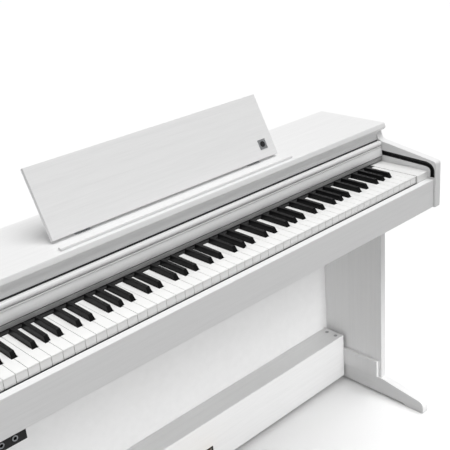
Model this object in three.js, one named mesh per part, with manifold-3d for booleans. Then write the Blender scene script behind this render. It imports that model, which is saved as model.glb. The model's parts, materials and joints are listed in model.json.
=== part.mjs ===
// Console digital piano on its own stand: lengths in mm, X to the player's right, Y to the back, +Z up,
// floor at Z 0, middle of the width and of the depth at X 0 and Y 0.
import * as THREE from "three";
import { mergeVertices } from "three/addons/utils/BufferGeometryUtils.js";
import Module from "manifold-3d";

const kernel = await Module();
kernel.setup();

// Overall sizes.
const WIDTH = 1360; // over both side panels
const DEPTH = 392; // front of the arms to the back of the lid
const HEIGHT = 850; // floor to the top of the lid
const FRONT = -DEPTH / 2;
const BACK = DEPTH / 2;
const GAP = 0.3; // clearance left between neighbouring pieces

// Upper cabinet.
const LID_THICK = 19;
const LID_TO_KEYS = 100; // top of the lid down to the white key tops
const LID_START = 174; // front of the arms to the front edge of the lid top
const ARM_THICK = 22;
const ARM_FRONT_RISE = 27.5; // top of the arm above the keys, at its front
const ARM_REAR_RISE = 57; // the same where it meets the lid
const BODY_DROP = 96; // white key tops down to the underside of the cabinet
const RAIL_DROP = 19; // white key tops down to the front rail's top
const BED_THICK = 17;
const CHEEK_ROOM = 47; // inner face of an arm to the first key
const NOSE_LEAN = 3.5; // the lid's front edge leans out by this much
const STOP_START = 9.5; // front edge of the lid to the strip that stops the sheet music
const STOP_DEEP = 12.5;
const STOP_HEIGHT = 6;
const STOP_HALF = 328;
const COVE_RISE = 55; // lower edge of the cove under the lid, above the key tops
const COVE_START = 8.5; // front edge of the lid to that lower edge
const BACK_BOARD = 8;

// Keys.
const WHITE_KEYS = 52;
const KEY_START = 26; // front of the arms to the white key fronts
const WHITE_LENGTH = 130; // the part in sight
const WHITE_DEEP = 20;
const BLACK_START = 46; // behind the white key fronts
const BLACK_LENGTH = 82;
const BLACK_HALF = 5.7;
const KEY_GAP = 1;
const PIVOT_BACK = 205; // white key fronts to the pivots
const FIRST_SINGLE = 23; // the first white key of the octave whose keys move one by one
const LAST_SINGLE = 29;

// Sliding key cover.
const COVER_FALL = 0.042; // fall of the guide tracks per mm towards the player
const COVER_START = 164.5; // front of the arms to the foot of the cover's face
const COVER_REAR_ROOM = 60; // back of the cabinet to the cover's rear edge
const COVER_PLAY = 2.5; // at each arm
const COVER_FOOT = 15.5; // foot of the cover's face above the key tops
const COVER_SEAM = 44; // joint between the face and the handle above it
const SEAM_HIGH = 1.4;
const HANDLE_TOP = 55.5;
const PIN_RISE = 24; // guide pins above the key tops
const PIN_RADIUS = 3;
const TRACK_HALF = 5.7;
const TRACK_DEEP = 5.5;

// Music rest.
const REST_WIDTH = 640;
const REST_THICK = 10;
const REST_TILT = 27; // degrees behind upright
const REST_AXIS_BACK = 234; // front of the arms to the hinge line
const REST_AXIS_RISE = 7.5; // hinge line above the lid
const REST_REACH = 149.5; // hinge line to the top edge
const HINGE_AT = 245; // middle of each hinge from the middle of the rest
const STAY_AT = 160;
const STAY_UP = 60; // hinge line to the stay's own pivot
const STAY_LEAN = 30; // degrees behind upright

// Stand.
const LEG_THICK = 20;
const FOOT_THICK = 24;
const FOOT_HEIGHT = 58;
const BOX_TOP = 160;
const BOX_DEEP = 74;
const BOX_WALL = 12;
const PEDAL_PITCH = 75;
const PEDAL_LEVEL = 65;
const PEDAL_OUT = 84; // in front of the pedal box

const KEY_TOP = HEIGHT - LID_TO_KEYS;
const LID_UNDER = HEIGHT - LID_THICK;
const BODY_UNDER = KEY_TOP - BODY_DROP;
const ARM_INNER = WIDTH / 2 - ARM_THICK;
const INSIDE = ARM_INNER - GAP;
const LEG_INNER = WIDTH / 2 - LEG_THICK;
const KEYS_HALF = ARM_INNER - CHEEK_ROOM;
const PITCH = (2 * KEYS_HALF) / WHITE_KEYS;
const KEY_FRONT = FRONT + KEY_START;
const KEY_PIVOT = KEY_FRONT + PIVOT_BACK;
const REAR_FACE = BACK - 4; // back of the side panels and the legs
const BED_TOP = BODY_UNDER + 1 + BED_THICK;

const piano = new THREE.Group();
piano.name = "digital_piano_on_stand";

function add(name, geometry, colour, roughness = 0.5, metalness = 0) {
  const material = new THREE.MeshStandardMaterial({ color: colour, roughness, metalness });
  const mesh = new THREE.Mesh(surface(geometry), material);
  mesh.name = name;
  piano.add(mesh);
}

const WHITE = "#f1f1ef";
const SHADE = "#dcdcda";
const BLACK = "#151517";
const STEEL = "#a9adb1";
const BRASS = "#c9a24d";

// A closed outline of [a, b, rounding] points.
function outline(points) {
  const shape = new THREE.Shape();
  const count = points.length;
  points.forEach(([a, b, rounding = 0], i) => {
    const corner = new THREE.Vector2(a, b);
    const start = corner.clone();
    const end = corner.clone();
    if (rounding) {
      const before = new THREE.Vector2(...points[(i + count - 1) % count]);
      const after = new THREE.Vector2(...points[(i + 1) % count]);
      start.add(before.sub(corner).setLength(rounding));
      end.add(after.sub(corner).setLength(rounding));
    }
    if (i) shape.lineTo(start.x, start.y);
    else shape.moveTo(start.x, start.y);
    if (rounding) shape.quadraticCurveTo(a, b, end.x, end.y);
  });
  shape.closePath();
  return shape;
}

function extruded(points, length, steps) {
  const settings = { depth: length, bevelEnabled: false, curveSegments: steps };
  return new THREE.ExtrudeGeometry(outline(points), settings);
}

// An outline in Y and Z, run along X.
function alongX(points, from, to, steps = 4) {
  const turn = new THREE.Matrix4().makeBasis(
    new THREE.Vector3(0, 1, 0),
    new THREE.Vector3(0, 0, 1),
    new THREE.Vector3(1, 0, 0),
  );
  return extruded(points, to - from, steps).applyMatrix4(turn).translate(from, 0, 0);
}

// An outline in X and Y, run along Z.
function alongZ(points, from, to, steps = 4) {
  return extruded(points, to - from, steps).translate(0, 0, from);
}

function box(left, right, near, far, low, high) {
  return new THREE.BoxGeometry(right - left, far - near, high - low).translate(
    (left + right) / 2,
    (near + far) / 2,
    (low + high) / 2,
  );
}

function rodX(radius, from, to, y, z, sides = 16) {
  return new THREE.CylinderGeometry(radius, radius, to - from, sides)
    .rotateZ(Math.PI / 2)
    .translate((from + to) / 2, y, z);
}

function rodY(radius, from, to, x, z, sides = 16) {
  return new THREE.CylinderGeometry(radius, radius, to - from, sides).translate(x, (from + to) / 2, z);
}

function rodZ(radius, from, to, x, y, sides = 20) {
  return new THREE.CylinderGeometry(radius, radius, to - from, sides)
    .rotateX(Math.PI / 2)
    .translate(x, y, (from + to) / 2);
}

function solid(geometry) {
  if (geometry instanceof kernel.Manifold) return geometry;
  const plain = geometry.index ? geometry.toNonIndexed() : geometry;
  const bare = new THREE.BufferGeometry().setAttribute("position", plain.getAttribute("position"));
  const merged = mergeVertices(bare, 1e-3);
  const mesh = new kernel.Mesh({
    numProp: 3,
    vertProperties: merged.attributes.position.array,
    triVerts: new Uint32Array(merged.index.array),
  });
  return new kernel.Manifold(mesh);
}

function surface(made) {
  if (made.isBufferGeometry) return made;
  const mesh = made.getMesh();
  return new THREE.BufferGeometry()
    .setAttribute("position", new THREE.BufferAttribute(mesh.vertProperties, mesh.numProp))
    .setIndex(new THREE.BufferAttribute(mesh.triVerts, 1));
}

function cut(body, ...tools) {
  return tools.reduce((left, tool) => left.subtract(solid(tool)), solid(body));
}

function join(first, ...others) {
  return others.reduce((whole, piece) => whole.add(solid(piece)), solid(first));
}

function mirrored(piece) {
  return solid(piece).mirror([1, 0, 0]);
}

// A strip of even width along a line of [a, b] points, with square ends.
function strip(line, half) {
  const edge = (side) =>
    line.map((point, i) => {
      const before = line[Math.max(i - 1, 0)];
      const after = line[Math.min(i + 1, line.length - 1)];
      const along = new THREE.Vector2(after[0] - before[0], after[1] - before[1]).normalize();
      return [point[0] - side * half * along.y, point[1] + side * half * along.x];
    });
  return [...edge(1), ...edge(-1).reverse()];
}

// ---------------------------------------------------------------- cabinet

const coverLine = (y) => KEY_TOP + PIN_RISE + COVER_FALL * (y - FRONT - COVER_START - 7.5);
const COVER_BACK = BACK - COVER_REAR_ROOM;

// The guide track: straight under the lid and over the keys, then down behind the arm's front.
function trackLine(extra) {
  const turnAt = FRONT + 34;
  const down = FRONT + 10;
  const bend = new THREE.QuadraticBezierCurve(
    new THREE.Vector2(turnAt, coverLine(turnAt)),
    new THREE.Vector2(down, coverLine(down)),
    new THREE.Vector2(down, KEY_TOP - 1),
  );
  const rear = COVER_BACK + 5 + extra;
  const curve = bend.getPoints(8).map((point) => [point.x, point.y]);
  return [[rear, coverLine(rear)], ...curve, [down, KEY_TOP - 14.5 - extra]];
}

function makeArm() {
  const shoulder = Math.min(11, 0.46 * (LID_UNDER - KEY_TOP - ARM_REAR_RISE));
  const plate = alongX(
    [
      [FRONT, BODY_UNDER, 3],
      [REAR_FACE, BODY_UNDER],
      [REAR_FACE, LID_UNDER - GAP],
      [FRONT + LID_START + 12, LID_UNDER - GAP],
      [FRONT + LID_START + 4, KEY_TOP + ARM_REAR_RISE, shoulder],
      [FRONT, KEY_TOP + ARM_FRONT_RISE, 9],
    ],
    ARM_INNER,
    WIDTH / 2,
    5,
  );
  const deep = ARM_INNER + TRACK_DEEP + 0.5;
  const channel = alongX(strip(trackLine(GAP), TRACK_HALF + GAP), ARM_INNER - 1, deep);
  return cut(plate, channel);
}

function makeTrack() {
  const liner = alongX(strip(trackLine(0), TRACK_HALF), ARM_INNER, ARM_INNER + TRACK_DEEP);
  const slot = alongX(strip(trackLine(-1.6), PIN_RADIUS + 0.4), ARM_INNER - 1, ARM_INNER + TRACK_DEEP - 1.2);
  return cut(liner, slot);
}

function makeLid() {
  const nose = FRONT + LID_START;
  return alongX(
    [
      [nose + 3, LID_UNDER],
      [BACK, LID_UNDER],
      [BACK, HEIGHT, 1.5],
      [nose, HEIGHT, 2.2],
      [nose - NOSE_LEAN, HEIGHT - 12.5, 2.5],
    ],
    -WIDTH / 2,
    WIDTH / 2,
    5,
  );
}

// The raised strip in front of the music rest.
function makeBookStop() {
  const near = FRONT + LID_START + STOP_START;
  return alongX(
    [
      [near, HEIGHT + GAP],
      [near + STOP_DEEP, HEIGHT + GAP],
      [near + STOP_DEEP, HEIGHT + STOP_HEIGHT, 2],
      [near + 0.4, HEIGHT + STOP_HEIGHT, 1.4],
    ],
    -STOP_HALF,
    STOP_HALF,
    3,
  );
}

// The board under the lid's front: a hollow cove, shaded at its top and turned up a little at its foot.
function makeFascia() {
  const nose = FRONT + LID_START;
  const low = KEY_TOP + COVE_RISE;
  const high = LID_UNDER - GAP;
  return alongX(
    [
      [nose + COVE_START, low, 1.5],
      [nose + 24, low],
      [nose + 24, high],
      [nose + 4.5, high],
      [nose + COVE_START + 3, low + 0.66 * (high - low), Math.min(9, 0.5 * (high - low))],
    ],
    -INSIDE,
    INSIDE,
    6,
  );
}

function makeFrontRail() {
  return alongX(
    [
      [FRONT + 5, BODY_UNDER + 1, 2],
      [KEY_FRONT - 3.3, BODY_UNDER + 1],
      [KEY_FRONT - 3.3, KEY_TOP - RAIL_DROP],
      [FRONT + 5, KEY_TOP - RAIL_DROP, 2],
    ],
    -INSIDE,
    INSIDE,
    3,
  );
}

// Room behind the keys, shared by the loudspeakers and the electronics.
const WORKS_FRONT = KEY_PIVOT + 20;
const WORKS_BACK = BACK - 20;
const SPEAKER_AT = 430;
const SPEAKER_Y = (WORKS_FRONT + WORKS_BACK) / 2;
const SPEAKER_RADIUS = Math.min(62, (WORKS_BACK - WORKS_FRONT) / 2);

function makeKeybed() {
  const board = box(-INSIDE, INSIDE, KEY_FRONT - 3, REAR_FACE - BACK_BOARD, BODY_UNDER + 1, BED_TOP);
  const holes = [-1, 1].map((side) =>
    rodZ(SPEAKER_RADIUS - 10, BODY_UNDER, BED_TOP + 1, side * SPEAKER_AT, SPEAKER_Y, 28),
  );
  return cut(board, ...holes);
}

const PLATE_AT = 430; // middle of the socket plate
const PLATE_HALF = 45;
const PLATE_LOW = BED_TOP + 12;
const PLATE_HIGH = BED_TOP + 52;
const BOARD_FRONT = REAR_FACE - BACK_BOARD + GAP;

function makeCabinetBack() {
  const board = box(-INSIDE, INSIDE, BOARD_FRONT, REAR_FACE, BODY_UNDER + 1, LID_UNDER - GAP);
  const left = PLATE_AT - PLATE_HALF;
  const right = PLATE_AT + PLATE_HALF;
  return cut(board, box(left, right, BOARD_FRONT - 1, BACK, PLATE_LOW, PLATE_HIGH));
}

// The socket plate fills the window in the back, its flange inside the cabinet.
function makeJackPlate() {
  const inside = BOARD_FRONT - GAP - 3;
  const flangeHalf = PLATE_HALF + 5;
  const frontHalf = PLATE_HALF - GAP;
  const flange = box(
    PLATE_AT - flangeHalf,
    PLATE_AT + flangeHalf,
    inside,
    inside + 3,
    PLATE_LOW - 4,
    PLATE_HIGH + 4,
  );
  const front = box(
    PLATE_AT - frontHalf,
    PLATE_AT + frontHalf,
    inside + 2,
    REAR_FACE - 1,
    PLATE_LOW + GAP,
    PLATE_HIGH - GAP,
  );
  const hole = (from, to, low, high) =>
    box(PLATE_AT + from, PLATE_AT + to, inside + 4, BACK, PLATE_LOW + low, PLATE_LOW + high);
  const inlet = rodY(4.5, inside + 4, BACK, PLATE_AT - 28, PLATE_LOW + 20);
  const usb = hole(-8, 8, 16, 24);
  const pedalSocket = hole(20, 36, 14, 26);
  return cut(join(flange, front), inlet, usb, pedalSocket);
}

function makeNameRail() {
  const face = FRONT + COVER_START + 1.5;
  return alongX(
    [
      [face, KEY_TOP + 3.5, 1],
      [face + 11, KEY_TOP + 3.5],
      [face + 11, KEY_TOP + 13.5],
      [face, KEY_TOP + 13.5, 1],
    ],
    -INSIDE,
    INSIDE,
    2,
  );
}

const CHEEK_FRONT = KEY_FRONT - 3;
const CHEEK_LONG = 158;
const BUTTON_RADIUS = 7;
const KNOB_RADIUS = 9;
const CONTROL_X = -(KEYS_HALF + CHEEK_ROOM / 2);
const BUTTON_Y = KEY_FRONT + 34;
const KNOB_Y = KEY_FRONT + 74;

function makeCheek() {
  return alongX(
    [
      [CHEEK_FRONT, BED_TOP + GAP],
      [CHEEK_FRONT + CHEEK_LONG, BED_TOP + GAP],
      [CHEEK_FRONT + CHEEK_LONG, KEY_TOP],
      [CHEEK_FRONT, KEY_TOP, 1.5],
    ],
    KEYS_HALF + 0.8,
    INSIDE,
    3,
  );
}

// The left cheek block also holds the power button and the volume knob.
function makeControlCheek() {
  return cut(
    mirrored(makeCheek()),
    rodZ(BUTTON_RADIUS + 0.5, KEY_TOP - 14, KEY_TOP + 1, CONTROL_X, BUTTON_Y),
    rodZ(3.4, KEY_TOP - 16, KEY_TOP + 1, CONTROL_X, KNOB_Y),
  );
}

function makeKnob() {
  const cap = rodZ(KNOB_RADIUS, KEY_TOP + 0.8, KEY_TOP + 12, CONTROL_X, KNOB_Y, 24);
  const shaft = rodZ(3, KEY_TOP - 12, KEY_TOP + 2, CONTROL_X, KNOB_Y);
  const mark = box(CONTROL_X - 0.6, CONTROL_X + 0.6, KNOB_Y + 4, KNOB_Y + 10, KEY_TOP + 11, KEY_TOP + 13);
  return cut(join(cap, shaft), mark);
}

// Box for two headphones, hung under the left end of the keybed.
const PHONES_FROM_ARM = 40;
const PHONES_WIDE = 70;
const PHONES_LONG = 48;
const PHONES_TALL = 24;
const JACK_RADIUS = 3.3;

function makeHeadphoneBox() {
  const left = -ARM_INNER + PHONES_FROM_ARM;
  const near = FRONT + 14;
  const low = BODY_UNDER - PHONES_TALL;
  const shell = box(left, left + PHONES_WIDE, near, near + PHONES_LONG, low, BODY_UNDER + 1 - GAP);
  const jacks = [22, 48].map((across) =>
    rodY(JACK_RADIUS, near - 1, near + 32, left + across, low + PHONES_TALL / 2),
  );
  return cut(shell, ...jacks);
}

// A loudspeaker over its hole in the keybed: cone below, basket and magnet above.
function makeSpeaker(side) {
  const bed = BED_TOP + GAP;
  const profile = [
    [0, 8],
    [SPEAKER_RADIUS * 0.35, 10],
    [SPEAKER_RADIUS * 0.8, 1.5],
    [SPEAKER_RADIUS * 0.84, 0],
    [SPEAKER_RADIUS, 0],
    [SPEAKER_RADIUS, 4],
    [SPEAKER_RADIUS * 0.86, 6],
    [SPEAKER_RADIUS * 0.6, 24],
    [SPEAKER_RADIUS * 0.6, 40],
    [0, 40],
  ];
  const points = profile.map(([radius, rise]) => new THREE.Vector2(radius, rise));
  return new THREE.LatheGeometry(points, 28)
    .rotateX(Math.PI / 2)
    .translate(side * SPEAKER_AT, SPEAKER_Y, bed);
}

const MODULE_HALF = 150;
const FIN_PITCH = 60;

// Electronics in one closed case with cooling grooves across its top.
function makeSoundModule() {
  const floor = BED_TOP + GAP;
  const tray = box(-MODULE_HALF, MODULE_HALF, WORKS_FRONT + 4, WORKS_BACK - 4, floor, floor + 26);
  const grooves = [-2, -1, 0, 1, 2].map((place) => {
    const x = place * FIN_PITCH;
    return box(x - 12, x + 12, WORKS_FRONT, WORKS_BACK, floor + 20, floor + 30);
  });
  return cut(tray, ...grooves);
}

// ---------------------------------------------------------------- keys

// Sideways shift of a black key from the gap it stands over, by the place of the white key before it.
const BLACK_SHIFT = new Map([
  [0, 3.4],
  [2, -2.3],
  [3, 2.3],
  [5, -3.4],
  [6, 0],
]);
const hasBlack = (white) => white >= 0 && white < WHITE_KEYS - 1 && BLACK_SHIFT.has(white % 7);
const edgeOf = (white) => -KEYS_HALF + PITCH * white;
const blackAt = (white) => edgeOf(white + 1) + (BLACK_SHIFT.get(white % 7) * PITCH) / 23.5;
const STICK_HALF = 4;
const STICK_END = KEY_PIVOT + 8;

// A white key in plan: its head, then the narrower part between the black keys, then the hidden stick.
function makeWhiteKey(white) {
  const left = edgeOf(white) + KEY_GAP / 2;
  const right = edgeOf(white + 1) - KEY_GAP / 2;
  const notch = KEY_FRONT + BLACK_START - KEY_GAP;
  const end = KEY_FRONT + WHITE_LENGTH;
  const clear = BLACK_HALF + KEY_GAP;
  const rearLeft = hasBlack(white - 1) ? blackAt(white - 1) + clear : left;
  const rearRight = hasBlack(white) ? blackAt(white) - clear : right;
  const plan = [
    [left, KEY_FRONT],
    [right, KEY_FRONT],
  ];
  if (rearRight !== right) plan.push([right, notch], [rearRight, notch]);
  plan.push([rearRight, end], [rearLeft, end]);
  if (rearLeft !== left) plan.push([rearLeft, notch], [left, notch]);
  const middle = (rearLeft + rearRight) / 2;
  const low = KEY_TOP - WHITE_DEEP;
  return join(
    alongZ(plan, low, KEY_TOP),
    box(middle - STICK_HALF, middle + STICK_HALF, end - 6, STICK_END, low, low + 8),
  );
}

// A six-sided block between a lower and an upper rectangle of [half width, near, far, near Z, far Z].
function block(x, lower, upper) {
  const corners = [lower, upper].flatMap(([half, near, far, nearZ, farZ]) => [
    [x - half, near, nearZ],
    [x + half, near, nearZ],
    [x + half, far, farZ],
    [x - half, far, farZ],
  ]);
  const faces = [0, 2, 1, 0, 3, 2, 4, 5, 6, 4, 6, 7, 0, 1, 5, 0, 5, 4];
  faces.push(1, 2, 6, 1, 6, 5, 2, 3, 7, 2, 7, 6, 3, 0, 4, 3, 4, 7);
  return new THREE.BufferGeometry()
    .setAttribute("position", new THREE.BufferAttribute(new Float32Array(corners.flat()), 3))
    .setIndex(faces);
}

function makeBlackKey(white) {
  const x = blackAt(white);
  const near = KEY_FRONT + BLACK_START;
  const far = near + BLACK_LENGTH;
  const base = KEY_TOP - 1;
  const cap = block(
    x,
    [BLACK_HALF, near, far, base - 1, base - 1],
    [BLACK_HALF - 1.1, near + 6, far - 1, KEY_TOP + 10.6, KEY_TOP + 12],
  );
  const body = box(x - BLACK_HALF, x + BLACK_HALF, near, far, KEY_TOP - WHITE_DEEP, base);
  const stick = box(x - STICK_HALF, x + STICK_HALF, far - 6, STICK_END, KEY_TOP - 10, KEY_TOP - 3);
  return join(cap, body, stick);
}

// Keys that move together, joined by a bar under the white keys' ends or over it for the black ones.
function makeBank(make, whites, middleOf, low, high) {
  const first = middleOf(whites[0]);
  const last = middleOf(whites[whites.length - 1]);
  const bar = box(first, last, STICK_END - 16, STICK_END, low, high);
  return join(bar, ...whites.map(make));
}

function whiteMiddle(white) {
  const left = hasBlack(white - 1) ? blackAt(white - 1) + BLACK_HALF : edgeOf(white);
  const right = hasBlack(white) ? blackAt(white) - BLACK_HALF : edgeOf(white + 1);
  return (left + right) / 2;
}

// Bent steel frame under the keys: a rib behind their fronts and the wall that carries their pivots.
function makeKeyFrame() {
  const base = BED_TOP + GAP;
  const sheet = 4;
  const rib = KEY_FRONT + 20;
  const wall = STICK_END - 16;
  return alongX(
    [
      [KEY_FRONT + 4, base],
      [STICK_END + 6, base],
      [STICK_END + 6, base + sheet],
      [STICK_END, base + sheet],
      [STICK_END, KEY_TOP - WHITE_DEEP - 1.5],
      [wall, KEY_TOP - WHITE_DEEP - 1.5],
      [wall, base + sheet],
      [rib + 10, base + sheet],
      [rib + 10, KEY_TOP - 33],
      [rib, KEY_TOP - 33],
      [rib, base + sheet],
      [KEY_FRONT + 4, base + sheet],
    ],
    -KEYS_HALF,
    KEYS_HALF,
  );
}

// ---------------------------------------------------------------- key cover

const COVER_SIDE = ARM_INNER - COVER_PLAY;

function pinPair(y) {
  const z = coverLine(y);
  const right = rodX(PIN_RADIUS, COVER_SIDE - 2, ARM_INNER + 3.8, y, z, 12);
  return [right, rodX(PIN_RADIUS, -ARM_INNER - 3.8, -COVER_SIDE + 2, y, z, 12)];
}

// The cover's face: a bead along its top, then a swell that turns in again at its foot.
function makeCoverFace() {
  const face = FRONT + COVER_START;
  const foot = KEY_TOP + COVER_FOOT;
  const top = KEY_TOP + COVER_SEAM - SEAM_HIGH;
  const plate = alongX(
    [
      [face + 1.2, foot, 1],
      [face + 11.5, foot],
      [face + 13.5, top],
      [face + 2.4, top, 1.2],
      [face + 2.2, top - 2.6, 0.8],
      [face + 3.7, top - 3.4],
      [face + 3.4, top - 4.6, 1],
      [face + 0.6, top - 13, 4],
      [face, foot + 6, 2.5],
    ],
    -COVER_SIDE,
    COVER_SIDE,
    5,
  );
  return join(plate, ...pinPair(face + 7.5));
}

// The handle edge on top of the face, its underside drawn back behind the bead.
function makeCoverNose() {
  const face = FRONT + COVER_START;
  const seat = KEY_TOP + COVER_SEAM - SEAM_HIGH + GAP;
  return alongX(
    [
      [face + 4.8, KEY_TOP + COVER_SEAM],
      [face + 7.5, KEY_TOP + COVER_SEAM],
      [face + 7.5, seat],
      [face + 14, seat],
      [face + 14, KEY_TOP + HANDLE_TOP, 3],
      [face + 2.5, KEY_TOP + HANDLE_TOP + 0.5, 5],
      [face + 0.6, KEY_TOP + COVER_SEAM + 4, 3],
    ],
    -COVER_SIDE,
    COVER_SIDE,
    5,
  );
}

function makeCoverPanel() {
  const near = FRONT + COVER_START + 14;
  const line = [near, COVER_BACK].map((y) => [y, coverLine(y)]);
  const board = alongX(strip(line, 4), -COVER_SIDE, COVER_SIDE);
  return join(board, ...pinPair(COVER_BACK - 8));
}

// ---------------------------------------------------------------- music rest

const REST_Y = FRONT + REST_AXIS_BACK;
const REST_Z = HEIGHT + REST_AXIS_RISE;
const REST_BACK_FACE = -1.5; // behind the hinge line when upright
const REST_FRONT_FACE = REST_BACK_FACE + REST_THICK;
const tilt = THREE.MathUtils.degToRad(REST_TILT);

// Geometry drawn with the rest upright, its hinge line at the origin, turned and set in place.
function placedRest(geometry) {
  return surface(geometry).rotateX(-tilt).translate(0, REST_Y, REST_Z);
}

// The rest reaches no further back than the lid when it lies flat.
const restTop = Math.min(REST_REACH, BACK - REST_Y - 6);

function makeRest() {
  const board = alongX(
    [
      [-REST_FRONT_FACE, -4.5, 0.8],
      [-REST_BACK_FACE, -4.5, 0.8],
      [-REST_BACK_FACE, restTop, 1.5],
      [-REST_FRONT_FACE, restTop, 1.5],
    ],
    -REST_WIDTH / 2,
    REST_WIDTH / 2,
    2,
  );
  const notches = [-1, 1].map((side) =>
    box(side * HINGE_AT - 20, side * HINGE_AT + 20, -4.4, 3, -6, 6),
  );
  return placedRest(cut(board, ...notches));
}

// The fixed half of a hinge: a leaf on the lid, two knuckles and the pin through them.
function makeHingeBase(side) {
  const x = side * HINGE_AT;
  const leaf = box(x - 18, x + 18, REST_Y - 0.7, REST_Y + 14, HEIGHT + GAP, HEIGHT + 1.6);
  const pin = rodX(1.4, x - 17, x + 17, REST_Y, REST_Z, 12);
  const knuckles = [-13, 13].flatMap((across) => [
    rodX(3.2, x + across - 5, x + across + 5, REST_Y, REST_Z, 14),
    box(x + across - 5, x + across + 5, REST_Y, REST_Y + 3, HEIGHT + 1, REST_Z),
  ]);
  return join(leaf, pin, ...knuckles);
}

// The moving half: one knuckle round the pin and a leaf on the back of the rest.
function makeHingeLeaf(side) {
  const x = side * HINGE_AT;
  const back = -REST_BACK_FACE + GAP;
  const leaf = box(x - 7.6, x + 7.6, back, back + 1.4, 0, 22);
  const knuckle = rodX(3.2, x - 7.6, x + 7.6, 0, 0, 14);
  return placedRest(cut(join(leaf, knuckle), rodX(1.7, x - 9, x + 9, 0, 0, 12)));
}

const STAY_OFF = 3.6; // the stay's pivot behind the hinge line when the rest is upright
const stayFoot = 1.9; // the stay's rounded foot ends this far over the lid
const stayLean = THREE.MathUtils.degToRad(STAY_LEAN);
const stayRise = REST_AXIS_RISE + STAY_UP * Math.cos(tilt) - STAY_OFF * Math.sin(tilt);
const STAY_LENGTH = (stayRise - stayFoot - GAP) / Math.cos(stayLean);

// A strip on the back of the rest with two pairs of lugs, each with a pin for a stay.
function makeStayRail() {
  const back = -REST_BACK_FACE + GAP;
  const plate = box(-STAY_AT - 14, STAY_AT + 14, back, back + 1, STAY_UP - 12, STAY_UP - 5);
  const pieces = [-1, 1].flatMap((side) => [
    ...[-1, 1].map((lug) =>
      box(
        side * STAY_AT + lug * 9 - 2.4,
        side * STAY_AT + lug * 9 + 2.4,
        back,
        STAY_OFF + 2,
        STAY_UP - 7,
        STAY_UP + 2,
      ),
    ),
    rodX(0.9, side * STAY_AT - 10, side * STAY_AT + 10, STAY_OFF, STAY_UP, 10),
  ]);
  return placedRest(join(plate, ...pieces));
}

// A stay: a flat bar from its pivot down to the lid, drawn along -Z from the origin.
function makeStay(side) {
  const x = side * STAY_AT;
  const bar = alongX(
    [
      [-1.7, -STAY_LENGTH, 1.4],
      [1.7, -STAY_LENGTH, 1.4],
      [1.7, 1.7, 1.4],
      [-1.7, 1.7, 1.4],
    ],
    x - 6,
    x + 6,
    3,
  );
  const y = REST_Y + STAY_UP * Math.sin(tilt) + STAY_OFF * Math.cos(tilt);
  const z = REST_Z + STAY_UP * Math.cos(tilt) - STAY_OFF * Math.sin(tilt);
  const drilled = cut(bar, rodX(1.1, x - 7, x + 7, 0, 0, 10));
  return surface(drilled).rotateX(stayLean).translate(0, y, z);
}

// ---------------------------------------------------------------- stand

const LEG_FRONT = FRONT + LID_START;

function makeLeg() {
  return box(LEG_INNER, WIDTH / 2, LEG_FRONT, REAR_FACE, FOOT_HEIGHT + GAP, BODY_UNDER - GAP);
}

const FOOT_TIP = FRONT + 24;
const PAD_LONG = 60;
const FOOT_ARCH = 6;

// A foot carries the leg panel and reaches forward under the keys.
function makeFoot() {
  return alongX(
    [
      [FOOT_TIP, 0, 3],
      [FOOT_TIP + PAD_LONG, 0],
      [FOOT_TIP + PAD_LONG + 8, FOOT_ARCH],
      [REAR_FACE - PAD_LONG - 8, FOOT_ARCH],
      [REAR_FACE - PAD_LONG, 0],
      [REAR_FACE, 0],
      [REAR_FACE, FOOT_HEIGHT],
      [LEG_FRONT - 6, FOOT_HEIGHT],
      [FOOT_TIP, FOOT_HEIGHT - 24, 16],
    ],
    WIDTH / 2 - FOOT_THICK,
    WIDTH / 2,
  );
}

const STAND_BACK_THICK = 5;
const BASE_RAIL_TOP = 114;
const BOX_UNDER = 16;
const BOX_REAR = REAR_FACE - STAND_BACK_THICK - GAP;
const BOX_FRONT = BOX_REAR - BOX_DEEP;
const BOX_SIDE = LEG_INNER - 10;

// An upright rail on the inside of the leg, which the pedal box is screwed to.
function makeBaseRail() {
  const near = LEG_FRONT + 10;
  const far = REAR_FACE - STAND_BACK_THICK - 0.6;
  return box(BOX_SIDE + GAP, LEG_INNER - GAP, near, far, FOOT_HEIGHT + GAP, BASE_RAIL_TOP);
}

function makeStandBack() {
  const half = LEG_INNER - GAP;
  return box(-half, half, REAR_FACE - STAND_BACK_THICK, REAR_FACE, FOOT_HEIGHT + GAP, BODY_UNDER - GAP);
}

function makePedalBox() {
  const shell = alongX(
    [
      [BOX_FRONT, BOX_UNDER, 2],
      [BOX_FRONT + BOX_WALL, BOX_UNDER],
      [BOX_FRONT + BOX_WALL, BOX_TOP - BOX_WALL],
      [BOX_REAR, BOX_TOP - BOX_WALL],
      [BOX_REAR, BOX_TOP],
      [BOX_FRONT, BOX_TOP, 3],
    ],
    -BOX_SIDE,
    BOX_SIDE,
    3,
  );
  const slots = [-1, 0, 1].map((side) =>
    box(
      side * PEDAL_PITCH - 13,
      side * PEDAL_PITCH + 13,
      BOX_FRONT - 1,
      BOX_FRONT + BOX_WALL + 1,
      PEDAL_LEVEL - 20,
      PEDAL_LEVEL + 8,
    ),
  );
  return cut(shell, ...slots);
}

const PEDAL_AXIS = REAR_FACE - 24;

// Plate on the back panel with two lugs and the axle that all the pedals turn on.
function makePedalAxle() {
  const reach = PEDAL_PITCH + 30;
  const plate = box(-reach, reach, BOX_REAR - 2.7, BOX_REAR, PEDAL_LEVEL - 20, BOX_TOP - BOX_WALL - 4);
  const lug = (x) => box(x - 2, x + 2, PEDAL_AXIS - 7, REAR_FACE - 7, PEDAL_LEVEL - 9, PEDAL_LEVEL + 9);
  const lugs = [-1, 1].map((side) => lug(side * (reach - 2)));
  return join(plate, ...lugs, rodX(3, -reach + 1, reach - 1, PEDAL_AXIS, PEDAL_LEVEL));
}

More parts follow.
